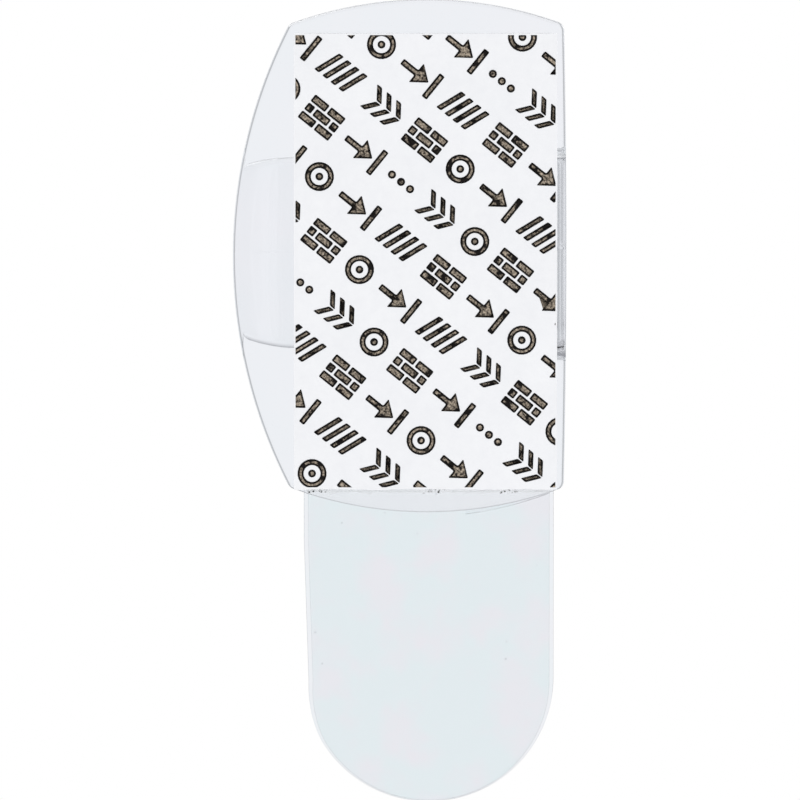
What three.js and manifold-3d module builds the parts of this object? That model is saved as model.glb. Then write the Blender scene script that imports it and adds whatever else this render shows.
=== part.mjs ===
// Adhesive cable clip: a clear moulded clip on a stretch-release strip whose wall side is still covered.
// Millimetres, +Z up the wall. The outer face of the wall liner lies in Y = 0, centred on the origin,
// and the front of the clip faces -Y. A cable runs through the clip along Z and snaps in from +X.
import * as THREE from 'three';
import { mergeVertices } from 'three/addons/utils/BufferGeometryUtils.js';
import Module from 'manifold-3d';

const wasm = await Module();
wasm.setup();

// Plate of the clip, in the plane of the wall
const plateWidth = 16.6; // from the root edge to the corners on the lip side
const plateHeight = 28.0; // between the corners
const plateThickness = 1.7;
const endBow = 1.5; // rise of the top and bottom edges
const lipBow = 3.4; // rise of the edge that leads the cable in
const rootBow = 0.15; // rise of the edge that carries the arm
const rootCorner = 0.5; // rounding of the two corners on the root edge

// Arm that closes over the cable
const armWidth = 11.6;
const armWall = 1.6;
const channelHeight = 6.6; // clear height between the plate and the top of the arm
const bendRadius = 3.8; // outside of the bend above the root
const mouthGap = 2.0; // narrowest gap between the plate and the neck of the arm
const neckRadius = 6.0; // outside of the neck
const lipLength = 4.6; // from the neck to the tip
const lipFlare = THREE.MathUtils.degToRad(30);
const lipCornerRun = 3.8; // length over which the sides of the arm draw in towards the tip
const lipCornerRadius = 10.0;
const rootFillet = 0.9; // where the arm stands on the plate

// Strip behind the plate, in layers from the wall to the clip
const linerThickness = 0.1;
const adhesiveThickness = 0.15;
const coreThickness = 0.4;
const stripTopInset = 0.48; // top corners of the plate down to the strip
const linerOverrun = 0.12; // liner past the bottom corners of the plate
const rootMargin = 0.42; // liner to the root edge
const lipMargin = 0.29; // liner to the corners on the lip side
const linerOverhang = 0.4; // liner past the core on each side, before its shift
const linerShift = 0.2; // liner off the middle of the core, towards the lip side

// Pull tab below the plate
const tabReach = 18.9; // bottom edge of the liner to the end of the tab
const tabFilmThickness = 0.1;
const tabFilmInset = 0.25; // films inside the edge of the tab
const tabFilmSetback = 0.4; // films below the bend of the tab
const tabClearance = 0.3; // bent tab to the bottom of the plate
const bendClearance = 0.1; // strip to the bent end of the tab

const arcSteps = 24;

// Places that follow from those sizes
const linerWidth = plateWidth - rootMargin - lipMargin;
const linerLength = plateHeight - stripTopInset + linerOverrun;
const coreWidth = linerWidth - 2 * linerOverhang;
const coreX = -linerShift;
const stripTop = linerLength / 2;
const stripBottom = -linerLength / 2;
const plateMiddle = stripTop + stripTopInset - plateHeight / 2;
const rootX = -linerWidth / 2 - rootMargin;
const lipX = rootX + plateWidth;
const tipX = lipX + lipBow;
const wallAdhesiveY = -linerThickness;
const coreY = wallAdhesiveY - adhesiveThickness;
const clipAdhesiveY = coreY - coreThickness;
const plateBackY = clipAdhesiveY - adhesiveThickness;
const plateFrontY = plateBackY - plateThickness;
const tabThickness = coreThickness + 2 * tabFilmThickness;
const plateBottom = plateMiddle - plateHeight / 2 - endBow;
const tabBendZ = plateBottom - tabClearance - tabThickness / 2;
const coreBottom = tabBendZ + coreThickness / 2 + bendClearance;
const tabEnd = stripBottom - tabReach;

const point = (x, y) => new THREE.Vector2(x, y);

function arc(centre, radius, startAngle, endAngle) {
  const points = [];
  for (let i = 0; i <= arcSteps; i += 1) {
    const angle = startAngle + ((endAngle - startAngle) * i) / arcSteps;
    points.push(point(centre.x + radius * Math.cos(angle), centre.y + radius * Math.sin(angle)));
  }
  return points;
}

// A circular edge between two corners that stands out to the right of its direction, cut short at its ends
function bowedEdge(from, to, rise, trimStart = 0, trimEnd = 0) {
  const along = to.clone().sub(from);
  const half = along.length() / 2;
  along.normalize();
  const outward = point(along.y, -along.x);
  const radius = (half * half + rise * rise) / (2 * rise);
  const centre = from.clone().add(to).multiplyScalar(0.5).addScaledVector(outward, rise - radius);
  const halfAngle = Math.asin(half / radius);
  const middleAngle = Math.atan2(outward.y, outward.x);
  const start = middleAngle - halfAngle + trimStart / radius;
  const end = middleAngle + halfAngle - trimEnd / radius;
  return arc(centre, radius, start, end);
}

function outline(points) {
  const kept = points.filter((p, i) => p.distanceTo(points[(i + 1) % points.length]) > 1e-5);
  return new THREE.Shape(kept);
}

function extrude(shape, depth) {
  return new THREE.ExtrudeGeometry(shape, { depth, bevelEnabled: false });
}

// An outline in X and Z, from its back face at backY towards the front
function plateFrom(shape, backY, depth) {
  return extrude(shape, depth).rotateX(Math.PI / 2).translate(0, backY, 0);
}

function toSolid(geometry) {
  const bare = geometry.clone();
  bare.deleteAttribute('normal');
  bare.deleteAttribute('uv');
  const merged = mergeVertices(bare, 1e-5);
  const mesh = new wasm.Mesh({
    numProp: 3,
    vertProperties: new Float32Array(merged.attributes.position.array),
    triVerts: new Uint32Array(merged.index.array),
  });
  return new wasm.Manifold(mesh);
}

function toGeometry(solid) {
  const mesh = solid.getMesh();
  const geometry = new THREE.BufferGeometry();
  geometry.setAttribute('position', new THREE.BufferAttribute(new Float32Array(mesh.vertProperties), 3));
  geometry.setIndex(new THREE.BufferAttribute(new Uint32Array(mesh.triVerts), 1));
  geometry.computeVertexNormals();
  return geometry;
}

function plateGeometry() {
  const high = plateHeight / 2;
  const topRoot = point(rootX, high);
  const bottomRoot = point(rootX, -high);
  const lipEdge = bowedEdge(point(lipX, -high), point(lipX, high), lipBow);
  const topEdge = bowedEdge(point(lipX, high), topRoot, endBow, 0, rootCorner);
  const rootEdge = bowedEdge(topRoot, bottomRoot, rootBow, rootCorner, rootCorner);
  const bottomEdge = bowedEdge(bottomRoot, point(lipX, -high), endBow, rootCorner, 0);
  const topCorner = new THREE.QuadraticBezierCurve(topEdge.at(-1), topRoot, rootEdge[0]);
  const bottomCorner = new THREE.QuadraticBezierCurve(rootEdge.at(-1), bottomRoot, bottomEdge[0]);
  const points = [...lipEdge, ...topEdge, ...topCorner.getPoints(4), ...rootEdge];
  points.push(...bottomCorner.getPoints(4), ...bottomEdge);
  return plateFrom(outline(points), plateBackY, plateThickness);
}

// Where the root edge of the plate lies at the two sides of the arm
function rootWallX() {
  const half = plateHeight / 2;
  const radius = (half * half + rootBow * rootBow) / (2 * rootBow);
  const sideDrop = radius - Math.sqrt(radius * radius - (armWidth * armWidth) / 4);
  return rootX - rootBow + sideDrop;
}

// Section of the arm across the cable: root wall, bend, falling crown, neck and flared lip
function armSection() {
  const wallX = rootWallX();
  const topY = plateFrontY - channelHeight - armWall;
  const bend = point(wallX + bendRadius, topY + bendRadius);
  const fall = channelHeight - mouthGap;
  const run = tipX - lipLength - bend.x;
  const slope = 2 * Math.atan2(fall, run);
  const bothRadii = run / Math.sin(slope);
  const crownRadius = bothRadii - neckRadius;
  const crown = point(bend.x, topY + crownRadius);
  const neck = point(crown.x + bothRadii * Math.sin(slope), crown.y - bothRadii * Math.cos(slope));
  const down = 1.5 * Math.PI;
  const up = Math.PI / 2;
  const outer = [
    point(wallX, plateFrontY),
    ...arc(bend, bendRadius, Math.PI, down),
    ...arc(crown, crownRadius, down, down + slope),
    ...arc(neck, neckRadius, up + slope, up - lipFlare),
  ];
  const inner = [
    ...arc(neck, neckRadius + armWall, up - lipFlare, up + slope),
    ...arc(crown, crownRadius - armWall, down + slope, down),
    ...arc(bend, bendRadius - armWall, down, Math.PI),
    ...arc(point(wallX + armWall + rootFillet, plateFrontY - rootFillet), rootFillet, Math.PI, up),
  ];
  return outline([...outer, pastTip(outer.at(-1)), pastTip(inner[0]), ...inner]);
}

// The lip runs on straight from its neck until it is past the tip, where it is trimmed
function pastTip(from) {
  const reach = tipX + armWall - from.x;
  return point(tipX + armWall, from.y - reach * Math.tan(lipFlare));
}

// Arm seen from the front: straight sides that draw in towards the tip
function armPlan() {
  const half = armWidth / 2;
  const startX = tipX - lipCornerRun;
  const turn = Math.asin((lipCornerRun + armWall) / lipCornerRadius);
  const up = Math.PI / 2;
  const lower = arc(point(startX, lipCornerRadius - half), lipCornerRadius, -up, turn - up);
  const upper = arc(point(startX, half - lipCornerRadius), lipCornerRadius, up - turn, up);
  const behindRoot = rootX - armWall;
  return outline([point(behindRoot, -half), ...lower, ...upper, point(behindRoot, half)]);
}

// Everything on the clip's side of the edge that leads the cable in
function lipTrim() {
  const high = plateHeight / 2;
  const edge = bowedEdge(point(lipX, -high), point(lipX, high), lipBow);
  const behindRoot = rootX - armWall;
  return outline([...edge, point(behindRoot, high), point(behindRoot, -high)]);
}

// Foot of the arm, flared along the root edge
function footGeometry() {
  const half = armWidth / 2;
  const flareY = plateFrontY - rootFillet;
  const points = [
    ...arc(point(-half - rootFillet, flareY), rootFillet, Math.PI / 2, 0),
    ...arc(point(half + rootFillet, flareY), rootFillet, Math.PI, Math.PI / 2),
  ];
  return extrude(outline(points), armWall).rotateY(Math.PI / 2).translate(rootWallX(), 0, 0);
}

function armGeometry() {
  const depth = channelHeight + 2 * armWall + plateThickness;
  const bar = extrude(armSection(), armWidth).translate(0, 0, -armWidth / 2);
  const sides = plateFrom(armPlan(), plateBackY, depth);
  const tip = plateFrom(lipTrim(), plateBackY, depth);
  const trimmed = toSolid(bar).intersect(toSolid(sides)).intersect(toSolid(tip));
  return toGeometry(trimmed.add(toSolid(footGeometry())));
}

function sheetGeometry(width, top, bottom, backY, thickness) {
  const sheet = new THREE.BoxGeometry(width, thickness, top - bottom);
  return sheet.translate(0, backY - thickness / 2, (top + bottom) / 2);
}

// A sheet that hangs from its top edge and ends in a half circle
function tabGeometry(width, top, bottom, backY, thickness) {
  const half = width / 2;
  const end = arc(point(0, bottom + half), half, Math.PI, 2 * Math.PI);
  return plateFrom(outline([point(-half, top), ...end, point(half, top)]), backY, thickness);
}

function material(color, opacity, roughness) {
  const seeThrough = opacity < 1;
  return new THREE.MeshStandardMaterial({ color, opacity, transparent: seeThrough, roughness, metalness: 0 });
}

const clearPlastic = material('#eceef3', 0.35, 0.08);
const adhesive = material('#e6eaec', 0.5, 0.25);
const film = material('#e2ebee', 0.45, 0.18);
const paper = material('#f2f3f7', 1, 0.45);

function piece(name, geometry, finish) {
  const mesh = new THREE.Mesh(geometry, finish);
  mesh.name = name;
  return mesh;
}

const clip = new THREE.Group();
clip.position.z = plateMiddle;
clip.add(piece('clip_plate', plateGeometry(), clearPlastic));
clip.add(piece('snap_arm', armGeometry(), clearPlastic));

const strip = new THREE.Group();
strip.position.x = coreX;
const coat = (backY) => sheetGeometry(coreWidth, stripTop, stripBottom, backY, adhesiveThickness);
strip.add(piece('wall_adhesive', coat(wallAdhesiveY), adhesive));
strip.add(piece('strip_core', sheetGeometry(coreWidth, stripTop, coreBottom, coreY, coreThickness), film));
strip.add(piece('clip_adhesive', coat(clipAdhesiveY), adhesive));

const tab = new THREE.Group();
strip.add(tab);
const filmWidth = coreWidth - 2 * tabFilmInset;
const filmTop = tabBendZ - tabFilmSetback;
const filmEnd = tabEnd + tabFilmInset;
const tabFilm = (backY) => tabGeometry(filmWidth, filmTop, filmEnd, backY, tabFilmThickness);
tab.add(piece('pull_tab', tabGeometry(coreWidth, tabBendZ, tabEnd, coreY, coreThickness), film));
tab.add(piece('tab_film_wall_side', tabFilm(coreY + tabFilmThickness), film));
tab.add(piece('tab_film_clip_side', tabFilm(clipAdhesiveY), film));

const cableClip = new THREE.Group();
cableClip.add(clip, strip);
cableClip.add(piece('wall_liner', sheetGeometry(linerWidth, stripTop, stripBottom, 0, linerThickness), paper));

export default cableClip;
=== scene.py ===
import math
import bmesh
import bpy
from mathutils import Matrix, Vector, noise


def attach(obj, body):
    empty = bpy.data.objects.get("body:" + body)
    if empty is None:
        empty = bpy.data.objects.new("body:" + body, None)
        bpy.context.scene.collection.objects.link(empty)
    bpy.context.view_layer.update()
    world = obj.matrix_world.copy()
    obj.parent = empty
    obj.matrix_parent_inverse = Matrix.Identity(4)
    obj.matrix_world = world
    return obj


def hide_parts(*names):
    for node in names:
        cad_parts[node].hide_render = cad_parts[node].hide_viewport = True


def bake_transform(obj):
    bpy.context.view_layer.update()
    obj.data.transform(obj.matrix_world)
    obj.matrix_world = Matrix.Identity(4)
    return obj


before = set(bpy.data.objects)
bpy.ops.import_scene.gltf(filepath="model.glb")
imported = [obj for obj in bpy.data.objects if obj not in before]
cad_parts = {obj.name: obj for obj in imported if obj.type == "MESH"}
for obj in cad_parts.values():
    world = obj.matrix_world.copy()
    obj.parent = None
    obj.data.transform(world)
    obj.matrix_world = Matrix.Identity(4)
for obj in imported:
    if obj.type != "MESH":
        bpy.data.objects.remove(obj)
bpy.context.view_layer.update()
scene = bpy.context.scene
scene.view_settings.view_transform = "Standard"
mm = 0.001
print("frame loaded:", len(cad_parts), "nodes")


# Camera: looks at the wall side, a little from above, with a long lens

cameraLook = {
    "target": (1.54, 0.0, -8.33),  # mm, middle of the picture
    "elevation": 4.2,               # degrees above level
    "distance": 800.0,              # mm
    "pictureWidth": 48.32,          # mm across at the target
    "sensor": 36.0,                 # mm
    "viewRange": (0.01, 50.0),      # m
}


def metres(*values):
    return tuple(value * mm for value in values)


def placeCamera(look):
    lift = math.radians(look["elevation"])
    towards = Vector((0.0, math.cos(lift), math.sin(lift)))
    data = bpy.data.cameras.new("clipCamera")
    data.sensor_width = look["sensor"]
    data.lens = look["sensor"] * look["distance"] / look["pictureWidth"]
    data.clip_start, data.clip_end = look["viewRange"]
    camera = bpy.data.objects.new("clipCamera", data)
    scene.collection.objects.link(camera)
    camera.location = Vector(metres(*look["target"])) + towards * look["distance"] * mm
    camera.rotation_mode = "QUATERNION"
    camera.rotation_quaternion = (-towards).to_track_quat("-Z", "Y")
    scene.camera = camera


placeCamera(cameraLook)
print("camera placed")


# Edit-mode helpers

slack = 0.01             # mm, for finding things by their place
cutSlack = 0.0005        # mm
mostly = 0.7             # least part of a unit direction that counts as facing or running that way
smallRoundSteps = 2
smoothAngle = 40.0       # degrees, sharper edges stay sharp


def freshStart():
    if bpy.context.object is not None and bpy.context.object.mode != "OBJECT":
        bpy.ops.object.mode_set(mode="OBJECT")
    bpy.ops.object.select_all(action="DESELECT")


def nameIt(piece, name):
    piece.name = name
    piece.data.name = name


def editCage():
    return bmesh.from_edit_mesh(bpy.context.edit_object.data)


def pick(kind, test):
    bpy.ops.mesh.select_mode(type={"verts": "VERT", "edges": "EDGE", "faces": "FACE"}[kind])
    bpy.ops.mesh.select_all(action="DESELECT")
    cage = editCage()
    found = [item for item in getattr(cage, kind) if test(item)]
    for item in found:
        item.select_set(True)
    bmesh.update_edit_mesh(bpy.context.edit_object.data)
    return len(found)


def isAt(value, target, within=slack):
    return abs(value - target) < within


def middleOf(edge):
    return (edge.verts[0].co + edge.verts[1].co) / 2


def sharpEdge(edge, least=35.0):
    return len(edge.link_faces) == 2 and edge.calc_face_angle() > math.radians(least)


def mergeDoubles(within):
    bpy.ops.mesh.select_all(action="SELECT")
    bpy.ops.mesh.remove_doubles(threshold=within * mm)


def faceOutwards():
    bpy.ops.mesh.select_all(action="SELECT")
    bpy.ops.mesh.normals_make_consistent(inside=False)


def startVertex(name, x, y, z):
    freshStart()
    bpy.ops.mesh.primitive_plane_add(size=mm, location=metres(x, y, z))
    piece = bpy.context.object
    nameIt(piece, name)
    bpy.ops.object.transform_apply(location=True, rotation=True, scale=True)
    bpy.ops.object.mode_set(mode="EDIT")
    bpy.ops.mesh.select_mode(type="VERT")
    bpy.ops.mesh.merge(type="CENTER")
    return piece


def lineTo(x0, z0, x1, z1):
    step = metres(x1 - x0, 0.0, z1 - z0)
    bpy.ops.mesh.extrude_vertices_move(TRANSFORM_OT_translate={"value": step})


def bowTo(x0, z0, x1, z1, bow, y, steps):
    # An arc that bows to the right of the way it goes, in the plane of the wall
    run = math.hypot(x1 - x0, z1 - z0)
    radius = (run * run / 4 + bow * bow) / (2 * bow)
    outX = (z1 - z0) / run
    outZ = -(x1 - x0) / run
    centre = ((x0 + x1) / 2 - outX * (radius - bow), y, (z0 + z1) / 2 - outZ * (radius - bow))
    turn = 2 * math.asin(run / (2 * radius))
    bpy.ops.mesh.spin(steps=steps, angle=turn, center=metres(*centre), axis=(0, 1, 0))


def fillOutline():
    mergeDoubles(within=0.002)
    bpy.ops.mesh.select_all(action="SELECT")
    bpy.ops.mesh.edge_face_add()


def pullFaces(x, y, z):
    bpy.ops.mesh.extrude_region_move(TRANSFORM_OT_translate={"value": metres(x, y, z)})


def cutFaces(test, place, normal):
    pick("faces", test)
    bpy.ops.mesh.bisect(plane_co=metres(*place), plane_no=normal, threshold=cutSlack * mm)


def roundEdges(test, width, segments):
    count = pick("edges", test)
    bpy.ops.mesh.bevel(offset=width * mm, segments=segments, affect="EDGES", clamp_overlap=True)
    return count


def roundByWeight(piece, widthOf, segments):
    # The modifier is 1 mm wide, so an edge's weight is its own width in mm
    cage = editCage()
    layer = cage.edges.layers.float.new("bevel_weight_edge")
    count = 0
    for edge in cage.edges:
        edge[layer] = widthOf(edge)
        count += edge[layer] > 0
    bmesh.update_edit_mesh(piece.data)
    bpy.ops.object.mode_set(mode="OBJECT")
    bpy.ops.object.modifier_add(type="BEVEL")
    rounding = piece.modifiers[-1]
    rounding.limit_method = "WEIGHT"
    rounding.width = mm
    rounding.segments = segments
    bpy.ops.object.modifier_apply(modifier=rounding.name)
    bpy.ops.object.mode_set(mode="EDIT")
    return count


def closeUp(piece):
    mergeDoubles(within=0.001)
    faceOutwards()
    bpy.ops.object.mode_set(mode="OBJECT")
    bpy.ops.object.shade_smooth_by_angle(angle=math.radians(smoothAngle))
    bpy.ops.object.modifier_add(type="WEIGHTED_NORMAL")
    weighted = piece.modifiers[-1]
    weighted.weight = 100
    weighted.keep_sharp = True
    bpy.ops.object.modifier_apply(modifier=weighted.name)


# Material helpers

mixSockets = {"share": 0, "start": 6, "end": 7, "colour": 2}  # of a Mix node that blends colours


def newMaterial(name):
    material = bpy.data.materials.new(name)
    material.use_nodes = True
    tree = material.node_tree
    shader = tree.nodes["Principled BSDF"]
    return material, tree, shader


def addNode(tree, kind, **settings):
    node = tree.nodes.new(kind)
    for key, value in settings.items():
        if key in node.inputs:
            node.inputs[key].default_value = value
        else:
            setattr(node, key, value)
    return node


def objectCoords(tree):
    return addNode(tree, "ShaderNodeTexCoord").outputs["Object"]


def noiseOn(tree, coords, scale, detail=3.0, roughness=0.5):
    node = addNode(tree, "ShaderNodeTexNoise", Scale=scale, Detail=detail, Roughness=roughness)
    tree.links.new(coords, node.inputs["Vector"])
    return node.outputs["Fac"]


def cellsOn(tree, coords, scale):
    node = addNode(tree, "ShaderNodeTexVoronoi", Scale=scale)
    tree.links.new(coords, node.inputs["Vector"])
    return node.outputs["Distance"]


def spread(tree, value, low, high, fromLow=0.3, fromHigh=0.7):
    node = addNode(tree, "ShaderNodeMapRange")
    node.inputs["From Min"].default_value = fromLow
    node.inputs["From Max"].default_value = fromHigh
    node.inputs["To Min"].default_value = low
    node.inputs["To Max"].default_value = high
    tree.links.new(value, node.inputs["Value"])
    return node.outputs["Result"]


def colourRamp(tree, value, stops):
    node = addNode(tree, "ShaderNodeValToRGB")
    for element, (place, colour) in zip(node.color_ramp.elements, stops):
        element.position = place
        element.color = (*colour, 1.0)
    tree.links.new(value, node.inputs["Fac"])
    return node.outputs["Color"]


def blendNode(tree, start, end, **settings):
    # The end colour is a link or a fixed colour
    node = addNode(tree, "ShaderNodeMix", data_type="RGBA", **settings)
    tree.links.new(start, node.inputs[mixSockets["start"]])
    if isinstance(end, tuple):
        node.inputs[mixSockets["end"]].default_value = (*end, 1.0)
    else:
        tree.links.new(end, node.inputs[mixSockets["end"]])
    return node


def mixColour(tree, share, start, end):
    node = blendNode(tree, start, end)
    tree.links.new(share, node.inputs[mixSockets["share"]])
    return node.outputs[mixSockets["colour"]]


def multiplyColours(tree, first, second):
    node = blendNode(tree, first, second, blend_type="MULTIPLY")
    node.inputs[mixSockets["share"]].default_value = 1.0
    return node.outputs[mixSockets["colour"]]


def mathOn(tree, operation, *values):
    # Each value is a link or a plain number
    node = addNode(tree, "ShaderNodeMath", operation=operation)
    for socket, value in zip(node.inputs, values):
        if isinstance(value, float):
            socket.default_value = value
        else:
            tree.links.new(value, socket)
    return node.outputs["Value"]


def vectorOn(tree, operation, vector):
    node = addNode(tree, "ShaderNodeVectorMath", operation=operation)
    tree.links.new(vector, node.inputs[0])
    return node


def splitVector(tree, vector):
    node = addNode(tree, "ShaderNodeSeparateXYZ")
    tree.links.new(vector, node.inputs[0])
    return node.outputs


def bumpFrom(tree, shader, height, strength, depth):
    node = addNode(tree, "ShaderNodeBump", Strength=strength, Distance=depth * mm)
    tree.links.new(height, node.inputs["Height"])
    tree.links.new(node.outputs["Normal"], shader.inputs["Normal"])


# Clear plastic of the moulding; each bump is a strength and mm of height

plasticLook = {
    "ior": 1.49,
    "hazeScale": 900.0,
    "haze": (0.015, 0.06),  # least and most roughness
    "flowScale": 120.0,
    "flowTints": ((0.36, (0.964, 0.982, 0.988)), (0.62, (0.986, 0.986, 0.993))),
    "waveScale": 260.0,
    "waveBump": (0.04, 0.05),
    "depthTint": (0.80, 0.81, 0.83, 1.0),
    "depthDensity": 22.0,
}


def clearPlastic(look):
    material, tree, shader = newMaterial("clearPlastic")
    coords = objectCoords(tree)
    shader.inputs["Transmission Weight"].default_value = 1.0
    shader.inputs["IOR"].default_value = look["ior"]
    haze = noiseOn(tree, coords, look["hazeScale"], detail=4.0)
    tree.links.new(spread(tree, haze, *look["haze"]), shader.inputs["Roughness"])
    flow = noiseOn(tree, coords, look["flowScale"], detail=4.0)
    tree.links.new(colourRamp(tree, flow, look["flowTints"]), shader.inputs["Base Color"])
    wave = noiseOn(tree, coords, look["waveScale"], detail=2.0)
    bumpFrom(tree, shader, wave, *look["waveBump"])
    volume = addNode(tree, "ShaderNodeVolumeAbsorption", Color=look["depthTint"],
                     Density=look["depthDensity"])
    tree.links.new(volume.outputs["Volume"], tree.nodes["Material Output"].inputs["Volume"])
    return material


# Clear film of the strip and its tab

filmLook = {
    "ior": 1.47,
    "arcCentre": (-0.065, -0.45, 8.54),  # mm, of the plate's bottom edge
    "arcRadius": 23.7,
    "arcBlur": 0.05,
    # painted light: the paler tint of the film where the plate covers it
    "plateLightTint": (0.973, 0.977, 0.979),
    "patchScale": 240.0,
    "patchTints": ((0.46, (0.953, 0.977, 0.977)), (0.62, (0.970, 0.969, 0.975))),
    "speckScale": 430.0,
    "speckRange": (0.021, 0.038),
    "speckTint": (0.83, 0.84, 0.85),
    "mottleScale": 1500.0,
    "mottle": (0.02, 0.06),  # least and most roughness
    "grainScale": 900.0,
    "grainBump": (0.03, 0.02),
}


def clearFilm(look):
    material, tree, shader = newMaterial("clearFilm")
    coords = objectCoords(tree)
    shader.inputs["Transmission Weight"].default_value = 1.0
    shader.inputs["IOR"].default_value = look["ior"]
    patches = noiseOn(tree, coords, look["patchScale"], detail=5.0, roughness=0.62)
    tint = colourRamp(tree, patches, look["patchTints"])
    # Painted light: the film is painted a little paler inside the arc where the plate covers it
    away = vectorOn(tree, "DISTANCE", coords)
    away.inputs[1].default_value = metres(*look["arcCentre"])
    inner, outer = metres(look["arcRadius"] - look["arcBlur"], look["arcRadius"] + look["arcBlur"])
    covered = spread(tree, away.outputs["Value"], 1.0, 0.0, inner, outer)
    tint = mixColour(tree, covered, tint, look["plateLightTint"])
    # Here and there a speck is caught in the film
    speck = spread(tree, cellsOn(tree, coords, look["speckScale"]), 1.0, 0.0, *look["speckRange"])
    tint = mixColour(tree, speck, tint, look["speckTint"])
    tree.links.new(tint, shader.inputs["Base Color"])
    mottle = noiseOn(tree, coords, look["mottleScale"], detail=4.0, roughness=0.6)
    tree.links.new(spread(tree, mottle, *look["mottle"]), shader.inputs["Roughness"])
    bumpFrom(tree, shader, noiseOn(tree, coords, look["grainScale"]), *look["grainBump"])
    return material


# Sticky coat on both sides of the film

coatLook = {
    "clearness": 0.93,
    "ior": 1.05,
    "cloudScale": 600.0,
    "cloudTints": ((0.35, (0.975, 0.98, 0.98)), (0.65, (0.99, 0.99, 0.99))),
    "dirtHeights": (-13.86, -13.74),  # mm
    "dirtSpan": (5.2, 6.4),
    "strayScale": 300.0,
    "strayRange": (0.57, 0.64),
    "crumbScale": 4600.0,
    "crumbRange": (0.22, 0.34),
    "dirtTint": (0.03, 0.028, 0.025),
    "dimpleScale": 2600.0,
    "dimpleBump": (0.3, 0.02),
}


def stickyCoat(look):
    material, tree, shader = newMaterial("stickyCoat")
    coords = objectCoords(tree)
    shader.inputs["Transmission Weight"].default_value = look["clearness"]
    shader.inputs["IOR"].default_value = look["ior"]
    shader.inputs["Roughness"].default_value = 0.0
    cloud = noiseOn(tree, coords, look["cloudScale"], detail=5.0, roughness=0.6)
    tint = colourRamp(tree, cloud, look["cloudTints"])
    # Dirt has stuck to the bare bottom edge, most of it near one corner
    parts = splitVector(tree, coords)
    edge = spread(tree, parts["Z"], 1.0, 0.0, *metres(*look["dirtHeights"]))
    corner = spread(tree, parts["X"], 0.0, 1.0, *metres(*look["dirtSpan"]))
    strays = spread(tree, noiseOn(tree, coords, look["strayScale"]), 0.0, 1.0, *look["strayRange"])
    crumbs = spread(tree, cellsOn(tree, coords, look["crumbScale"]), 1.0, 0.0, *look["crumbRange"])
    dirt = mathOn(tree, "MULTIPLY", mathOn(tree, "MAXIMUM", corner, strays), crumbs)
    tint = mixColour(tree, mathOn(tree, "MULTIPLY", dirt, edge), tint, look["dirtTint"])
    tree.links.new(tint, shader.inputs["Base Color"])
    bumpFrom(tree, shader, noiseOn(tree, coords, look["dimpleScale"]), *look["dimpleBump"])
    return material


# White paper of the liner

paperLook = {
    "fibreScale": 1500.0,
    "cloudScale": 260.0,
    "tints": ((0.38, (0.865, 0.873, 0.90)), (0.62, (0.905, 0.912, 0.935))),
    "roughness": (0.38, 0.5),
    "fibreBump": (0.12, 0.02),
}


def linerPaper(look):
    material, tree, shader = newMaterial("linerPaper")
    coords = objectCoords(tree)
    fibre = noiseOn(tree, coords, look["fibreScale"], detail=6.0, roughness=0.65)
    cloud = noiseOn(tree, coords, look["cloudScale"], detail=4.0)
    average = mathOn(tree, "MULTIPLY", mathOn(tree, "ADD", fibre, cloud), 0.5)
    tree.links.new(colourRamp(tree, average, look["tints"]), shader.inputs["Base Color"])
    tree.links.new(spread(tree, cloud, *look["roughness"]), shader.inputs["Roughness"])
    bumpFrom(tree, shader, fibre, *look["fibreBump"])
    return material


# Ink of the printed marks

inkLook = {
    "rimTints": ((0.38, (0.002, 0.0015, 0.001)), (0.68, (0.010, 0.008, 0.005))),
    "rimScale": 5200.0,
    "bodyTints": ((0.38, (0.008, 0.006, 0.005)), (0.68, (0.62, 0.52, 0.41))),
    "bodyScale": 6500.0,
    "blotScale": 1700.0,
    "blotRange": (0.53, 0.60),
    "roughness": (0.42, 0.62),
    "specular": 0.15,
    "bump": (0.15, 0.01),
}


def printInk(name, tints, scale, look):
    material, tree, shader = newMaterial(name)
    coords = objectCoords(tree)
    patchy = noiseOn(tree, coords, scale, detail=5.0, roughness=0.7)
    tint = colourRamp(tree, patchy, tints)
    # Here and there the ink has run together in a darker blot
    darkest = tints[0][1]
    blots = spread(tree, noiseOn(tree, coords, look["blotScale"]), 0.0, 1.0, *look["blotRange"])
    tree.links.new(mixColour(tree, blots, tint, darkest), shader.inputs["Base Color"])
    tree.links.new(spread(tree, patchy, *look["roughness"]), shader.inputs["Roughness"])
    shader.inputs["Specular IOR Level"].default_value = look["specular"]
    bumpFrom(tree, shader, patchy, *look["bump"])
    return material


inkRim = printInk("inkRim", inkLook["rimTints"], inkLook["rimScale"], inkLook)
inkBody = printInk("inkBody", inkLook["bodyTints"], inkLook["bodyScale"], inkLook)

finishes = {
    "clear_plastic": clearPlastic(plasticLook),
    "clear_film": clearFilm(filmLook),
    "adhesive": stickyCoat(coatLook),
    "liner_paper": linerPaper(paperLook),
}
print("materials made:", len(finishes), "finishes and two inks")


# Clip moulding: the bowed plate and the springy arm, one clear shell

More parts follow.
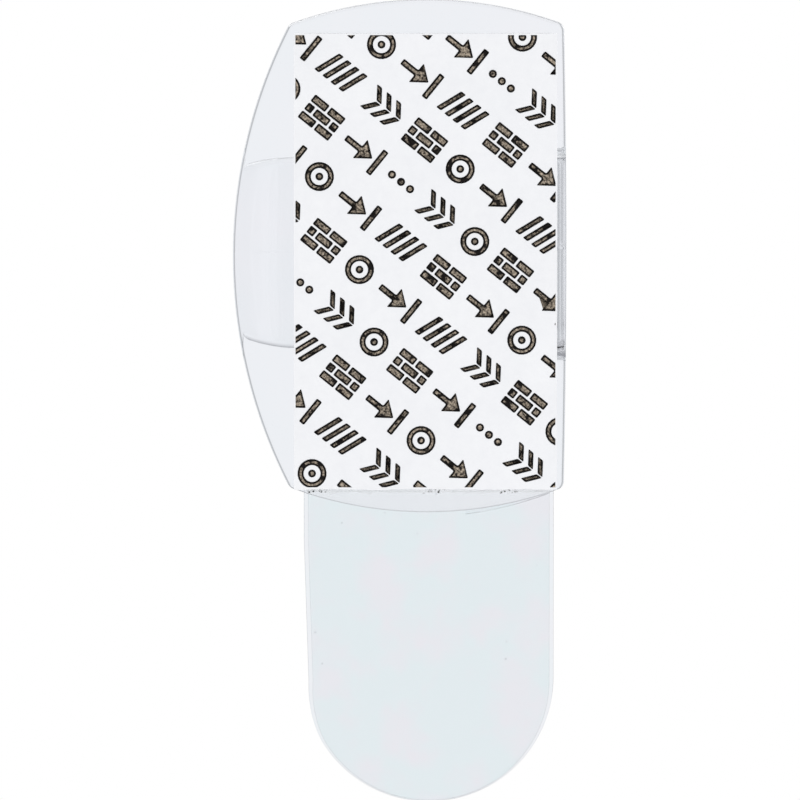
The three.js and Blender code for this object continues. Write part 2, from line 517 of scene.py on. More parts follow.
clipSizes = {
    "rootX": -8.365,         # mm, corners on the side of the arm's foot
    "lipX": 8.235,           # corners on the side where the cable goes in
    "middleZ": 0.30,
    "halfHeight": 14.0,
    "endBow": 1.5,
    "lipBow": 3.4,
    "rootBow": 0.15,
    "endSteps": 36,
    "lipSteps": 48,
    "rootSteps": 9,
    "cornerRun": 0.34,
    "cornerSteps": 6,
    "backY": -0.805,
    "frontY": -2.5,
    "wallOuterX": -8.4893,
    "wallInnerX": -6.8893,
    "wallEndX": -5.5,        # the arm's wall and its fillet end short of this
    "armHalf": 5.8,
    "armClear": 0.5,         # what is farther off the plate than this is arm
    "columns": (0.0, 0.07, 1.5, 3.0, 4.3),  # edges along the arm; the first two make the parting line
    "bendCentre": (-4.6893, -6.9),
    "crownCentre": (-4.6893, 0.543),
    "neckCentre": (7.035, -12.1),
    "armSteps": (32, 24, 36),
    "slope": 42.84,          # degrees
    "flare": 30.0,
    "lipRun": 0.4,
    "tipX": 11.635,
    "drawIn": 3.8,
    "drawInRadius": 10.0,
    "rootFillet": 0.9,
    "filletSteps": 6,
    "filletZone": (-8.3, -5.0),  # across the foot, from just inside its outer side to past the fillet
    "filletReach": 8.0,
    "plateRound": 0.23,
    "armRound": 0.50,
    "armRoundRise": 1.5,     # the rounding grows from the plate's to the arm's over this height
    "tipZone": 1.0,          # the bowed end of the lip lies within this of the tip
    "tipRound": 0.10,
    "lipCornerRound": 0.45,
    "roundSteps": 4,
    "roundAbove": 38.0,      # degrees
    "partingDepth": 0.03,
    "partingSpan": (-5.5, 10.6),
    "partingFrom": -5.0,     # depth from which the line runs
    "flashSpan": (-7.3, -2.3),
    "flashFaces": (-1.1, -1.5),
    "flashZone": (-2.5, -0.2),  # heights of the flash, from the plate's lower corners
    "flashHeight": 0.26,
    "flashTaper": 0.65,      # share of its height that the flash loses at its low end
    "flashRound": 0.05,
    "flexRows": (-2.9, -3.3, -3.7, -4.1),
    "flexSpan": (-2.5, -4.3),  # depths over which the arm's wall flexes in use
}


def lipBowAt(sizes, z):
    # How far the bulge falls back, this far from its middle
    half = sizes["halfHeight"]
    bow = sizes["lipBow"]
    radius = (half * half + bow * bow) / (2 * bow)
    return radius - math.sqrt(radius * radius - z * z)


def onArm(sizes, spot):
    return spot.y < sizes["frontY"] - sizes["armClear"]


def makePlate(sizes):
    mid, half = sizes["middleZ"], sizes["halfHeight"]
    top, low = mid + half, mid - half
    lip, root, back = sizes["lipX"], sizes["rootX"], sizes["backY"]
    piece = startVertex("clipMoulding", lip, back, top)
    bowTo(lip, top, root, top, sizes["endBow"], back, sizes["endSteps"])
    bowTo(root, top, root, low, sizes["rootBow"], back, sizes["rootSteps"])
    bowTo(root, low, lip, low, sizes["endBow"], back, sizes["endSteps"])
    bowTo(lip, low, lip, top, sizes["lipBow"], back, sizes["lipSteps"])
    fillOutline()
    pick("verts", lambda v: isAt(v.co.x / mm, root) and isAt(abs(v.co.z / mm - mid), half))
    bpy.ops.mesh.bevel(offset=sizes["cornerRun"] * mm, segments=sizes["cornerSteps"], affect="VERTICES")
    pick("faces", lambda f: True)
    pullFaces(0.0, sizes["frontY"] - back, 0.0)
    faceOutwards()
    return piece


def addFlash(piece, sizes):
    # A sliver of flash on the bottom edge, highest at one end
    low = sizes["middleZ"] - sizes["halfHeight"]
    start, end = sizes["flashSpan"]
    wallSide, clipSide = sizes["flashFaces"]

    def overFlash(face):
        spot = face.calc_center_median() / mm
        return face.normal.z < -mostly and spot.z < low and start < spot.x < end

    for place in sizes["flashFaces"]:
        cutFaces(overFlash, (0, place, 0), (0, 1, 0))
    pick("faces", lambda f: overFlash(f) and clipSide < f.calc_center_median().y / mm < wallSide)
    pullFaces(0.0, 0.0, -sizes["flashHeight"])
    for vert in [v for v in editCage().verts if v.select]:
        share = (vert.co.x / mm - start) / (end - start)
        vert.co.z += sizes["flashHeight"] * sizes["flashTaper"] * (1 - share) * mm
    bmesh.update_edit_mesh(piece.data)
    bpy.ops.mesh.region_to_loop()
    bpy.ops.mesh.bevel(offset=sizes["flashRound"] * mm, segments=smallRoundSteps, affect="EDGES",
                       clamp_overlap=True)


def markFoot(sizes):
    # The arm's foot is marked out on the front face and left selected
    mid, half = sizes["middleZ"], sizes["armHalf"]

    def onFront(face):
        return isAt(face.calc_center_median().y / mm, sizes["frontY"]) and abs(face.normal.y) > mostly

    def inBand(face):
        return onFront(face) and isAt(face.calc_center_bounds().z / mm, mid, half)

    def onFoot(face):
        return inBand(face) and face.calc_center_bounds().x / mm < sizes["wallInnerX"]

    for side in (1, -1):
        cutFaces(onFront, (0, 0, mid + side * half), (0, 0, 1))
    cutFaces(inBand, (sizes["wallInnerX"], 0, 0), (1, 0, 0))
    for column in sizes["columns"]:
        for side in {column, -column}:
            cutFaces(onFoot, (0, 0, mid + side), (0, 0, 1))
    pick("faces", onFoot)


def drawArm(piece, sizes):
    # The arm is drawn out of its foot: wall, bend, crown, neck and lip
    pullFaces(0.0, sizes["bendCentre"][1] - sizes["frontY"], 0.0)
    wallMiddle = (sizes["wallOuterX"] + sizes["wallInnerX"]) / 2
    for vert in [v for v in editCage().verts if v.select and v.co.x / mm < wallMiddle]:
        vert.co.x = sizes["wallOuterX"] * mm
    bmesh.update_edit_mesh(piece.data)
    turns = (
        (sizes["bendCentre"], -90.0),
        (sizes["crownCentre"], -sizes["slope"]),
        (sizes["neckCentre"], sizes["slope"] + sizes["flare"]),
    )
    for ((centreX, centreY), turn), steps in zip(turns, sizes["armSteps"]):
        centre = metres(centreX, centreY, 0.0)
        bpy.ops.mesh.spin(steps=steps, angle=math.radians(turn), center=centre, axis=(0, 0, 1))
    flare = math.radians(sizes["flare"])
    pullFaces(sizes["lipRun"] * math.cos(flare), -sizes["lipRun"] * math.sin(flare), 0.0)


def shapeLip(piece, sizes):
    # The end of the lip follows the plate's bulge, and its sides draw in towards it
    mid, half = sizes["middleZ"], sizes["armHalf"]
    drop = math.tan(math.radians(sizes["flare"]))
    cage = editCage()
    for vert in [v for v in cage.verts if v.select]:
        along = sizes["tipX"] - lipBowAt(sizes, vert.co.z / mm - mid) - vert.co.x / mm
        vert.co.x += along * mm
        vert.co.y -= along * drop * mm
    starts = sizes["tipX"] - sizes["drawIn"]
    reach = sizes["drawInRadius"]
    for vert in cage.verts:
        past = vert.co.x / mm - starts
        if past > 0 and onArm(sizes, vert.co / mm):
            narrow = (reach - math.sqrt(reach * reach - past * past)) / half
            vert.co.z = mid * mm + (vert.co.z - mid * mm) * (1 - narrow)
    bmesh.update_edit_mesh(piece.data)
    mergeDoubles(within=0.001)
    faceOutwards()


def filletFoot(sizes):
    # Fillets where the arm stands on the plate, once the rest of the marking lines is gone
    mid, half, inner = sizes["middleZ"], sizes["armHalf"], sizes["wallInnerX"]

    def onSideLine(spot):
        return isAt(abs(spot.z - mid), half) and isAt(spot.y, sizes["frontY"])

    def leftOver(edge):
        return all(onSideLine(vert.co / mm) for vert in edge.verts) and middleOf(edge).x / mm > inner

    def footJoin(edge):
        spot = middleOf(edge) / mm
        if not isAt(spot.y, sizes["frontY"]) or not sharpEdge(edge):
            return False
        onSide = onSideLine(spot) and spot.x < inner + slack
        onInner = isAt(spot.x, inner) and isAt(spot.z, mid, half + slack)
        return onSide or onInner

    pick("edges", leftOver)
    bpy.ops.mesh.dissolve_edges(use_verts=True)
    print("fillet edges:", roundEdges(footJoin, sizes["rootFillet"], sizes["filletSteps"]))


def roundMoulding(piece, sizes):
    # The arm's edges are rounded most, and the plate's less
    mid = sizes["middleZ"]
    low = mid - sizes["halfHeight"]
    filletTop = sizes["frontY"] - sizes["rootFillet"]

    def inFillet(spot):
        start, end = sizes["filletZone"]
        besideFoot = start < spot.x < end and isAt(spot.z, mid, sizes["filletReach"])
        return besideFoot and filletTop < spot.y < sizes["frontY"] + slack

    def onFlash(spot):
        bottom, top = sizes["flashZone"]
        wallSide, clipSide = sizes["flashFaces"]
        return bottom < spot.z - low < top and clipSide - 2 * slack < spot.y < wallSide + 2 * slack

    def roundness(edge):
        spot = middleOf(edge) / mm
        if inFillet(spot) or not sharpEdge(edge, sizes["roundAbove"]):
            return 0.0
        run = (edge.verts[1].co - edge.verts[0].co).normalized()
        atTip = spot.x > sizes["tipX"] - sizes["tipZone"] and onArm(sizes, spot)
        if atTip and abs(run.z) > mostly:
            return sizes["tipRound"]
        if atTip and abs(run.y) > mostly:
            return sizes["lipCornerRound"]
        if onFlash(spot):
            return 0.0
        rise = min(1.0, max(0.0, (filletTop - spot.y) / sizes["armRoundRise"]))
        return sizes["plateRound"] + (sizes["armRound"] - sizes["plateRound"]) * rise

    print("rounded edges:", roundByWeight(piece, roundness, sizes["roundSteps"]))


def cutParting(sizes):
    # A fine parting line along the middle of the arm
    mid = sizes["middleZ"]
    start, end = sizes["partingSpan"]
    grooveHalf = sizes["columns"][1]

    def alongArm(spot):
        return spot.y < sizes["partingFrom"] and start < spot.x < end

    def partingEdge(edge):
        heights = [vert.co.z / mm for vert in edge.verts]
        inGroove = all(isAt(height, mid, grooveHalf + slack) for height in heights)
        return inGroove and isAt(*heights, within=2 * slack) and alongArm(middleOf(edge) / mm)

    pick("verts", lambda v: isAt(v.co.z / mm, mid, within=0.002) and alongArm(v.co / mm))
    bpy.ops.transform.shrink_fatten(value=-sizes["partingDepth"] * mm)
    print("parting edges:", pick("edges", partingEdge))
    bpy.ops.mesh.mark_sharp()


def makeClip(sizes):
    piece = makePlate(sizes)
    addFlash(piece, sizes)
    markFoot(sizes)
    drawArm(piece, sizes)
    shapeLip(piece, sizes)
    filletFoot(sizes)
    roundMoulding(piece, sizes)
    cutParting(sizes)

    def onWall(face):
        spot = face.calc_center_bounds() / mm
        return spot.y > sizes["bendCentre"][1] - slack and spot.x < sizes["wallEndX"]

    for row in sizes["flexRows"]:
        cutFaces(onWall, (0, row, 0), (0, 1, 0))
    closeUp(piece)
    return piece


clipMoulding = makeClip(clipSizes)
print("clip moulding:", len(clipMoulding.data.polygons), "faces")


# Strip film: the stretchy core that runs on below the plate as the pull tab

filmSizes = {
    "left": -7.745,        # mm
    "right": 7.345,
    "top": 13.82,
    "wallY": -0.255,
    "clipY": -0.645,
    "tip": -32.72,
    "tipSteps": 64,
    "edgeRound": 0.05,
    "roundAbove": 60.0,    # degrees
    "bend": (-15.0, -16.6),  # where the film bends in use, just below the plate
    "bendSteps": 10,
    "slant": (-16.8, -25.4, -29.0),  # one side of the tab is cut in, most at the second height
    "slantDepth": 0.28,
}


def bendRows(sizes):
    # Edges across the bend, and one step beyond it at each end
    high, low = sizes["bend"]
    step = (low - high) / sizes["bendSteps"]
    return [high + step * row for row in range(-1, sizes["bendSteps"] + 2)]


def slantSide(piece, sizes, middle):
    # The straight cut on one side runs in and out again
    high, most, low = sizes["slant"]
    for vert in editCage().verts:
        height = vert.co.z / mm
        share = min((high - height) / (high - most), (height - low) / (most - low))
        if vert.co.x / mm > middle and share > 0:
            vert.co.x -= sizes["slantDepth"] * share * mm
    bmesh.update_edit_mesh(piece.data)


def makeStripLayer(name, left, right, top, tip, wallY, clipY, edgeRound):
    middle = (left + right) / 2
    radius = (right - left) / 2
    piece = startVertex(name, right, wallY, top)
    lineTo(right, top, left, top)
    lineTo(left, top, left, tip + radius)
    centre = metres(middle, wallY, tip + radius)
    bpy.ops.mesh.spin(steps=filmSizes["tipSteps"], angle=math.pi, center=centre, axis=(0, 1, 0))
    lineTo(right, tip + radius, right, top)
    fillOutline()
    pick("faces", lambda f: True)
    pullFaces(0.0, clipY - wallY, 0.0)
    faceOutwards()
    roundEdges(lambda e: sharpEdge(e, filmSizes["roundAbove"]), edgeRound, smallRoundSteps)
    for row in bendRows(filmSizes):
        cutFaces(lambda f: True, (0, 0, row), (0, 0, 1))
    slantSide(piece, filmSizes, middle)
    closeUp(piece)
    return piece


stripFilm = makeStripLayer("stripFilm", filmSizes["left"], filmSizes["right"], filmSizes["top"],
                           filmSizes["tip"], filmSizes["wallY"], filmSizes["clipY"], filmSizes["edgeRound"])
print("strip film:", len(stripFilm.data.polygons), "faces")


# Tab skins: a thin dry film on each side of the pull tab

skinSizes = {
    "inset": 0.25,         # mm in from the sides of the tab
    "tipInset": 0.06,      # and from its tip
    "top": -13.87,
    "thickness": 0.085,
    "gap": 0.01,
    "edgeRound": 0.03,
}


def makeTabSkin(name, wallY, clipY):
    left = filmSizes["left"] + skinSizes["inset"]
    right = filmSizes["right"] - skinSizes["inset"]
    tip = filmSizes["tip"] + skinSizes["tipInset"]
    return makeStripLayer(name, left, right, skinSizes["top"], tip, wallY, clipY, skinSizes["edgeRound"])


wallSkinY = filmSizes["wallY"] + skinSizes["gap"]
clipSkinY = filmSizes["clipY"] - skinSizes["gap"]
tabSkinWall = makeTabSkin("tabSkinWall", wallSkinY + skinSizes["thickness"], wallSkinY)
tabSkinClip = makeTabSkin("tabSkinClip", clipSkinY, clipSkinY - skinSizes["thickness"])
print("tab skins:", len(tabSkinWall.data.polygons), "faces each")


# Adhesive coats: two thin sticky layers on the covered part of the film

coatSizes = {
    "left": -7.70,         # mm
    "right": 7.30,
    "top": 13.78,
    "bottom": -13.98,
    "corner": 0.35,
    "cornerSteps": 5,
    "tear": 0.16,          # unevenness of the bottom edge
    "tearCuts": 70,
    "tearReach": 6.9,
    "tearWaves": (1.3, 4.1),
    "tearFine": 0.6,
    "tearSeed": 9.0,       # times the place of the outer side
    "wallFaces": (-0.115, -0.245),  # outer side, then the side on the film
    "clipFaces": (-0.795, -0.655),
    "lap": 0.04,             # thickness where a coat laps over the skin of the tab
    "lapTop": -13.83,
    "lapRows": (-13.81, -13.84),  # the step lies between these
}


def tearBottom(piece, seed, sizes):
    # The bottom edge is torn a little unevenly
    coarseWave, fineWave = sizes["tearWaves"]
    pick("edges", lambda e: all(isAt(v.co.z / mm, sizes["bottom"]) for v in e.verts))
    bpy.ops.mesh.subdivide(number_cuts=sizes["tearCuts"])
    for vert in [v for v in editCage().verts if v.select and abs(v.co.x / mm) < sizes["tearReach"]]:
        x = vert.co.x / mm
        coarse = noise.noise(Vector((x * coarseWave, seed, 0.0)))
        fine = noise.noise(Vector((x * fineWave, seed, 2.0)))
        vert.co.z += sizes["tear"] * (coarse + sizes["tearFine"] * fine) * mm
    bmesh.update_edit_mesh(piece.data)


def makeCoat(name, faces, sizes):
    left, right = sizes["left"], sizes["right"]
    top, bottom = sizes["top"], sizes["bottom"]
    outerSide, filmSide = faces
    piece = startVertex(name, right, outerSide, top)
    lineTo(right, top, left, top)
    lineTo(left, top, left, bottom)
    lineTo(left, bottom, right, bottom)
    lineTo(right, bottom, right, top)
    fillOutline()
    pick("verts", lambda v: True)
    bpy.ops.mesh.bevel(offset=sizes["corner"] * mm, segments=sizes["cornerSteps"], affect="VERTICES")
    tearBottom(piece, outerSide * sizes["tearSeed"], sizes)
    pick("faces", lambda f: True)
    pullFaces(0.0, filmSide - outerSide, 0.0)
    faceOutwards()
    for row in sizes["lapRows"]:
        cutFaces(lambda f: True, (0, 0, row), (0, 0, 1))
    lapFace = outerSide + math.copysign(sizes["lap"], filmSide - outerSide)
    for vert in editCage().verts:
        if vert.co.z / mm < sizes["lapTop"] and isAt(vert.co.y / mm, filmSide):
            vert.co.y = lapFace * mm
    bmesh.update_edit_mesh(piece.data)
    closeUp(piece)
    return piece


wallCoat = makeCoat("wallCoat", coatSizes["wallFaces"], coatSizes)
clipCoat = makeCoat("clipCoat", coatSizes["clipFaces"], coatSizes)
print("adhesive coats:", len(wallCoat.data.polygons), "faces each")


# Liner: a thin white sheet over the wall side, cut a little rough at the bottom

linerSizes = {
    "halfWidth": 7.945,      # mm
    "halfHeight": 13.82,
    "outerY": -0.02,
    "thickness": 0.075,
    "columns": 48,
    "rows": 84,
    "raggedDepth": 0.096,    # roughness of the bottom edge
    "raggedShift": 0.75,
    "raggedWaves": (0.55, 2.3),
    "raggedSeeds": (3.7, 8.1),
    "raggedFine": 0.5,
    "raggedHeight": 3.0,     # above the bottom edge
    "ripple": 0.006,
    "rippleWaves": (0.22, 0.2),
    "rippleSeed": 5.0,
    "curlRows": [12.2 + 0.1 * step for step in range(16)],
    "curlFrom": 11.8,        # only what lies above this is cut into rows
    "curlSpan": (13.82, 12.2),
}


def roughCut(sizes, x, height):
    # How far the bottom edge is cut up, fading with height
    coarseWave, fineWave = sizes["raggedWaves"]
    coarseSeed, fineSeed = sizes["raggedSeeds"]
    coarse = noise.noise(Vector((x * coarseWave, coarseSeed, 0.0)))
    fine = sizes["raggedFine"] * noise.noise(Vector((x * fineWave, fineSeed, 0.0)))
    fade = max(0.0, 1.0 - height / sizes["raggedHeight"])
    return sizes["raggedDepth"] * (sizes["raggedShift"] + coarse + fine) * fade * fade


def makeLiner(sizes):
    freshStart()
    bpy.ops.mesh.primitive_grid_add(x_subdivisions=sizes["columns"], y_subdivisions=sizes["rows"], size=mm)
    piece = bpy.context.object
    nameIt(piece, "wallLiner")
    bpy.ops.object.mode_set(mode="EDIT")
    bpy.ops.mesh.select_all(action="SELECT")
    bpy.ops.transform.resize(value=(2 * sizes["halfWidth"], 2 * sizes["halfHeight"], 1.0))
    acrossWave, upWave = sizes["rippleWaves"]
    for vert in editCage().verts:
        x, z = vert.co.x / mm, vert.co.y / mm
        z += roughCut(sizes, x, z + sizes["halfHeight"])
        wave = noise.noise(Vector((x * acrossWave, z * upWave, sizes["rippleSeed"])))
        vert.co = Vector(metres(x, sizes["outerY"] + sizes["ripple"] * (wave - 1.0), z))
    bmesh.update_edit_mesh(piece.data)
    bpy.ops.mesh.normals_make_consistent(inside=False)
    bpy.ops.object.mode_set(mode="OBJECT")
    bpy.ops.object.modifier_add(type="SOLIDIFY")
    wall = piece.modifiers[-1]
    wall.thickness = sizes["thickness"] * mm
    wall.offset = -1.0 if piece.data.polygons[0].normal.y > 0 else 1.0
    bpy.ops.object.modifier_apply(modifier=wall.name)
    bpy.ops.object.mode_set(mode="EDIT")
    for row in sizes["curlRows"]:
        cutFaces(lambda f: f.calc_center_bounds().z / mm > sizes["curlFrom"], (0, 0, row), (0, 0, 1))
    closeUp(piece)
    return piece


wallLiner = makeLiner(linerSizes)
print("liner:", len(wallLiner.data.polygons), "faces")


# Printed marks: plain signs for the wall side, in slanting rows

markLook = {
    "slant": -39.0,           # degrees, as the wall side is seen
    "rows": 5,                # on each side of the middle row
    "pitch": 2.85,            # mm between rows
    "stagger": (1.7, 3.0),    # mm that a row shifts, and where the shift starts again
    "gap": 0.72,              # mm between signs
    "rowReach": 15.5,
    "faces": (-0.013, -0.036),  # outer and inner side of the ink
    "corner": 0.07,
    "roundFrom": 12,          # an outline of this many corners is round already
    "rim": 0.12,              # width of the darker rim of the ink
    "margin": 0.1,
    "bottom": -13.62,
    "curlFrom": 11.0,         # only what lies above this is cut into rows
}

# A sign is its length and its outlines, in mm along and across its row, each with the width of its ring or 0
brickHeight = 0.50
brickCourses = [
    [(x0, y0), (x1, y0), (x1, y0 + brickHeight), (x0, y0 + brickHeight)]
    for y0, ends in ((-0.87, ((0.0, 1.10), (1.24, 2.34))),
                     (-0.25, ((0.0, 0.49), (0.63, 1.71), (1.85, 2.34))),
                     (0.37, ((0.0, 1.10), (1.24, 2.34))))
    for x0, x1 in ends
]
blockArrow = [(0.0, -0.20), (1.1, -0.20), (1.1, -0.72), (2.05, 0.0), (1.1, 0.72), (1.1, 0.20), (0.0, 0.20)]
wallBar = [(2.22, -0.88), (2.60, -0.88), (2.60, 0.88), (2.22, 0.88)]
upStroke = [(0.0, -0.84), (0.38, -0.84), (0.98, -0.03), (0.60, -0.03)]
downStroke = [(0.60, 0.03), (0.98, 0.03), (0.38, 0.84), (0.0, 0.84)]
slash = [(0.0, -0.84), (0.36, -0.84), (0.96, 0.84), (0.60, 0.84)]


def roundOutline(radius, corners):
    turns = [step * 2 * math.pi / corners for step in range(corners)]
    return [(radius + radius * math.cos(turn), radius * math.sin(turn)) for turn in turns]


def shifted(outline, along):
    return [(u + along, v) for u, v in outline]


chevrons = [shifted(stroke, 0.74 * step) for step in range(3) for stroke in (upStroke, downStroke)]
signs = {
    "bricks": (2.34, [(outline, 0.0) for outline in brickCourses]),
    "toWall": (2.60, [(blockArrow, 0.0), (wallBar, 0.0)]),
    "chevrons": (2.46, [(outline, 0.0) for outline in chevrons]),
    "target": (1.76, [(roundOutline(0.88, 24), 0.36), (shifted(roundOutline(0.24, 12), 0.64), 0.0)]),
    "slashes": (2.82, [(shifted(slash, 0.62 * step), 0.0) for step in range(4)]),
    "dots": (1.90, [(shifted(roundOutline(0.25, 12), 0.70 * step), 0.0) for step in range(3)]),
}
signRows = (
    ("bricks", "toWall", "target", "toWall", "slashes"),
    ("chevrons", "target", "bricks", "toWall", "dots"),
    ("toWall", "slashes", "chevrons", "bricks", "target"),
)


def joinPieces(pieces):
    freshStart()
    for piece in pieces:
        piece.select_set(True)
    bpy.context.view_layer.objects.active = pieces[0]
    if len(pieces) > 1:
        bpy.ops.object.join()
    return bpy.context.object


def makeStroke(outline, ring, look):
    freshStart()
    bpy.ops.mesh.primitive_circle_add(vertices=len(outline), radius=mm, fill_type="NGON")
    stroke = bpy.context.object
    stroke.data.materials.append(inkRim)
    stroke.data.materials.append(inkBody)
    bpy.ops.object.mode_set(mode="EDIT")
    cage = editCage()
    cage.verts.ensure_lookup_table()
    for vert, (u, v) in zip(cage.verts, outline):
        vert.co = Vector(metres(u, v, 0.0))
    bmesh.update_edit_mesh(stroke.data)
    if len(outline) < look["roundFrom"]:
        pick("verts", lambda v: True)
        bpy.ops.mesh.bevel(offset=look["corner"] * mm, segments=smallRoundSteps, affect="VERTICES")
    if ring:
        pick("faces", lambda f: True)
        bpy.ops.mesh.inset(thickness=ring * mm)
        bpy.ops.mesh.delete(type="FACE")
    # The rim of each stroke takes the first ink, the middle the second
    pick("faces", lambda f: True)
    bpy.ops.mesh.inset(thickness=look["rim"] * mm, use_boundary=True)
    for face in editCage().faces:
        face.material_index = 1 if face.select else 0
    bmesh.update_edit_mesh(stroke.data)
    bpy.ops.object.mode_set(mode="OBJECT")
    return stroke


def makeSign(name, look):
    sign = joinPieces([makeStroke(outline, ring, look) for outline, ring in signs[name][1]])
    sign.name = "sign_" + name
    return sign


def copySigns(templates, look):
    slant = math.radians(look["slant"])
    along = Vector((-math.cos(slant), 0.0, math.sin(slant)))
    across = Vector((math.sin(slant), 0.0, math.cos(slant)))
    turn = Matrix((along, across, along.cross(across))).transposed().to_4x4()
    shift, restart = look["stagger"]
    copies = []
    for row in range(-look["rows"], look["rows"] + 1):
        order = signRows[row % len(signRows)]
        place = -look["rowReach"] - (row * shift) % restart
        count = 0
        while place < look["rowReach"]:
            name = order[count % len(order)]
            spot = along * place * mm + across * row * look["pitch"] * mm
            copy = templates[name].copy()
            copy.data = templates[name].data.copy()
            scene.collection.objects.link(copy)
            copy.matrix_world = Matrix.Translation(spot + Vector(metres(0.0, look["faces"][0], 0.0))) @ turn
            copies.append(copy)
            place += signs[name][0] + look["gap"]
            count += 1
    return copies


def layMarks(look):
    templates = {name: makeSign(name, look) for name in signs}
    copies = copySigns(templates, look)
    for template in templates.values():
        bpy.data.objects.remove(template)
    piece = joinPieces(copies)
    nameIt(piece, "linerMarks")
    bpy.ops.object.transform_apply(location=True, rotation=True, scale=True)
    bpy.ops.object.mode_set(mode="EDIT")
    # Signs that run off the liner are cut at its edges
    side = linerSizes["halfWidth"] - look["margin"]
    top = linerSizes["halfHeight"] - look["margin"]
    cuts = (((side, 0, 0), (1, 0, 0)), ((-side, 0, 0), (-1, 0, 0)),
            ((0, 0, top), (0, 0, 1)), ((0, 0, look["bottom"]), (0, 0, -1)))
    for place, normal in cuts:
        bpy.ops.mesh.select_all(action="SELECT")
        bpy.ops.mesh.bisect(plane_co=metres(*place), plane_no=normal, clear_outer=True,
                            threshold=cutSlack * mm)
    for row in linerSizes["curlRows"]:
        cutFaces(lambda f: f.calc_center_bounds().z / mm > look["curlFrom"], (0, 0, row), (0, 0, 1))
    bpy.ops.mesh.select_all(action="SELECT")
    pullFaces(0.0, look["faces"][1] - look["faces"][0], 0.0)
    faceOutwards()
    bpy.ops.object.mode_set(mode="OBJECT")
    bpy.ops.object.shade_flat()
    return piece


linerMarks = layMarks(markLook)
print("liner marks:", len(linerMarks.data.polygons), "faces")


# Finishes and material slots

def dress(piece, slotName):
    piece.data.materials.clear()
    piece.data.materials.append(finishes[slotName])


dress(clipMoulding, "clear_plastic")
for piece in (stripFilm, tabSkinWall, tabSkinClip):
    dress(piece, "clear_film")
for piece in (wallCoat, clipCoat):
    dress(piece, "adhesive")
dress(wallLiner, "liner_paper")
print("materials on")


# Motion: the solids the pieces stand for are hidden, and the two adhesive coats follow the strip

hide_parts("clip_plate", "snap_arm")
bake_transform(clipMoulding)
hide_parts("strip_core", "pull_tab")
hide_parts("tab_film_wall_side")
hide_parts("tab_film_clip_side")
for piece in (stripFilm, tabSkinWall, tabSkinClip):
    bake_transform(piece)
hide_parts("wall_adhesive")
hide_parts("clip_adhesive")
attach(wallCoat, "strip")
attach(clipCoat, "strip")
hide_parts("wall_liner")
for piece in (wallLiner, linerMarks):
    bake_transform(piece)
print("bodies set")


# Stage: white floor with a painted shadow round the middle, white world, soft lamps

stageLook = {
    "floorZ": -68.0,         # mm, below the strip at its longest pull
    "floorSize": 8.0,        # m
    "floorFade": (0.04, 0.22),  # m from the middle, over which the painted shadow on the floor gives way to its full glow
    # glow of the floor near the middle and far out; the dimmer glow near the middle is a painted shadow
    "floorGlowShadowed": (0.66, 1.0),
    "floorMatt": (0.24, 0.0),
    "panels": 8.0,
    "panelShades": ((0.2, (0.50, 0.51, 0.53)), (0.7, (0.88, 0.89, 0.92))),
    "ceilingShades": ((0.22, (1.0, 1.0, 1.0)), (0.7, (0.44, 0.44, 0.46))),
    "roomShades": ((0.0, (1.05, 1.05, 1.05)), (1.0, (0.60, 0.60, 0.60))),
    "roomDepth": (-0.4, 0.4),
    "lamps": {               # place and size in m, and power in W
        "keyLamp": ((0.30, 0.55, 0.42), 0.40, 1.7),
        "fillLamp": ((-0.48, 0.40, 0.12), 0.40, 1.0),
        "frontLamp": ((0.28, -0.55, 0.38), 0.40, 1.6),
        "rimLamp": ((-0.45, -0.40, 0.20), 0.40, 1.0),
    },
}


def seenDirectly(tree, path):
    # 1 where the camera, a reflection or clear plastic looks at it, 0 where it lights something
    shiny = mathOn(tree, "MAXIMUM", path.outputs["Is Camera Ray"], path.outputs["Is Glossy Ray"])
    clear = mathOn(tree, "MAXIMUM", shiny, path.outputs["Is Transmission Ray"])
    early = mathOn(tree, "LESS_THAN", path.outputs["Diffuse Depth"], 0.5)
    return mathOn(tree, "MULTIPLY", clear, early)


def studioShade(tree, path, direction, look):
    # Plain white to the camera; in clear plastic and reflections, soft panels with darker gaps between
    parts = splitVector(tree, direction)
    bearing = mathOn(tree, "ARCTAN2", parts["X"], parts["Y"])
    wave = mathOn(tree, "COSINE", mathOn(tree, "MULTIPLY", bearing, look["panels"]))
    panels = colourRamp(tree, spread(tree, wave, 0.0, 1.0, -1.0, 1.0), look["panelShades"])
    steep = mathOn(tree, "ABSOLUTE", parts["Z"])
    walls = multiplyColours(tree, panels, colourRamp(tree, steep, look["ceilingShades"]))
    return mixColour(tree, path.outputs["Is Camera Ray"], walls, (1.0, 1.0, 1.0))


def roomLight(tree, direction, look):
    # The front half of the room is brighter, because that light comes through the plastic
    depth = spread(tree, splitVector(tree, direction)["Y"], 0.0, 1.0, *look["roomDepth"])
    return colourRamp(tree, depth, look["roomShades"])


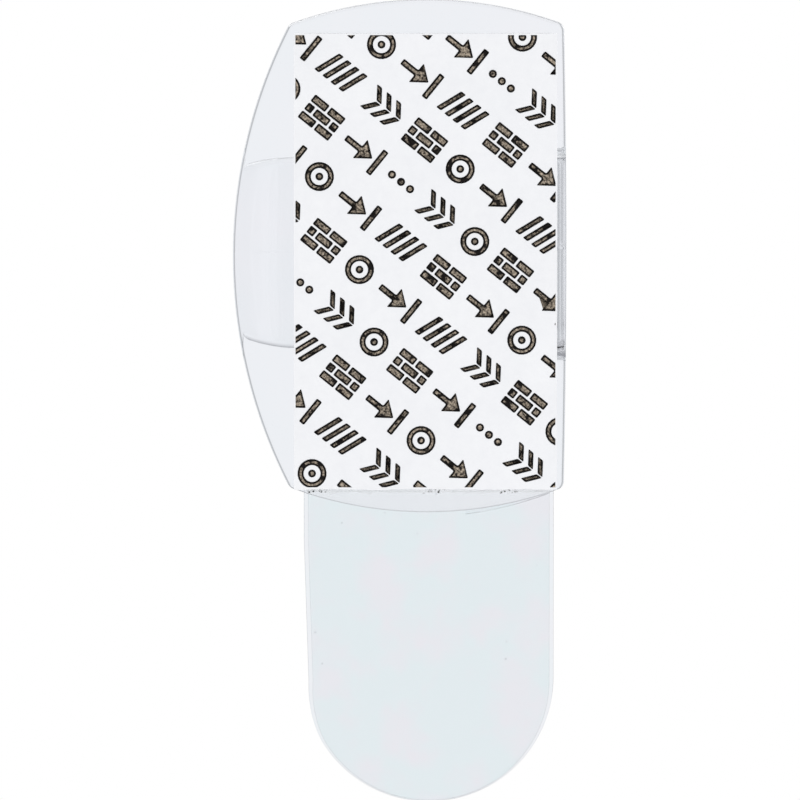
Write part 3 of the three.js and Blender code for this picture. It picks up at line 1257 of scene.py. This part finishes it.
def makeWorld(look):
    world = bpy.data.worlds.new("studioWorld")
    world.use_nodes = True
    scene.world = world
    tree = world.node_tree
    tree.nodes.clear()
    path = addNode(tree, "ShaderNodeLightPath")
    direction = addNode(tree, "ShaderNodeTexCoord").outputs["Generated"]
    lighting = addNode(tree, "ShaderNodeBackground", Strength=1.0)
    tree.links.new(roomLight(tree, direction, look), lighting.inputs["Color"])
    white = addNode(tree, "ShaderNodeBackground", Strength=1.0)
    tree.links.new(studioShade(tree, path, direction, look), white.inputs["Color"])
    mix = addNode(tree, "ShaderNodeMixShader")
    tree.links.new(seenDirectly(tree, path), mix.inputs[0])
    tree.links.new(lighting.outputs[0], mix.inputs[1])
    tree.links.new(white.outputs[0], mix.inputs[2])
    out = addNode(tree, "ShaderNodeOutputWorld")
    tree.links.new(mix.outputs[0], out.inputs["Surface"])


def floorMaterial(look):
    material, tree, shader = newMaterial("floorWhite")
    tree.nodes.remove(shader)
    path = addNode(tree, "ShaderNodeLightPath")
    coords = objectCoords(tree)
    away = vectorOn(tree, "LENGTH", coords).outputs["Value"]
    direction = vectorOn(tree, "NORMALIZE", coords).outputs["Vector"]
    # Painted shadow: the floor glows dimmer near the middle, around and under the clip
    glow = spread(tree, away, *look["floorGlowShadowed"], *look["floorFade"])
    bright = multiplyColours(tree, studioShade(tree, path, direction, look), glow)
    lit = mixColour(tree, seenDirectly(tree, path), roomLight(tree, direction, look), bright)
    emit = addNode(tree, "ShaderNodeEmission", Strength=1.0)
    tree.links.new(lit, emit.inputs["Color"])
    matt = addNode(tree, "ShaderNodeBsdfDiffuse")
    tree.links.new(spread(tree, away, *look["floorMatt"], *look["floorFade"]), matt.inputs["Color"])
    both = addNode(tree, "ShaderNodeAddShader")
    tree.links.new(emit.outputs[0], both.inputs[0])
    tree.links.new(matt.outputs[0], both.inputs[1])
    tree.links.new(both.outputs[0], tree.nodes["Material Output"].inputs["Surface"])
    return material


def makeFloor(look):
    freshStart()
    bpy.ops.mesh.primitive_plane_add(size=look["floorSize"], location=(0, 0, look["floorZ"] * mm))
    floor = bpy.context.object
    floor.name = "studioFloor"
    floor.data.materials.append(floorMaterial(look))


def makeLamps(look):
    for name, (place, size, power) in look["lamps"].items():
        data = bpy.data.lights.new(name, "AREA")
        data.shape = "DISK"
        data.size = size
        data.energy = power
        lamp = bpy.data.objects.new(name, data)
        scene.collection.objects.link(lamp)
        lamp.location = place
        lamp.visible_transmission = False
        lamp.visible_glossy = place[1] < 0
        lamp.rotation_mode = "QUATERNION"
        lamp.rotation_quaternion = (-Vector(place)).to_track_quat("-Z", "Y")


makeWorld(stageLook)
makeFloor(stageLook)
makeLamps(stageLook)
scene.cycles.max_bounces = 32
scene.cycles.transmission_bounces = 32
scene.cycles.glossy_bounces = 16
scene.cycles.blur_glossy = 0.0
scene.cycles.sample_clamp_indirect = 1.5
print("stage lit")
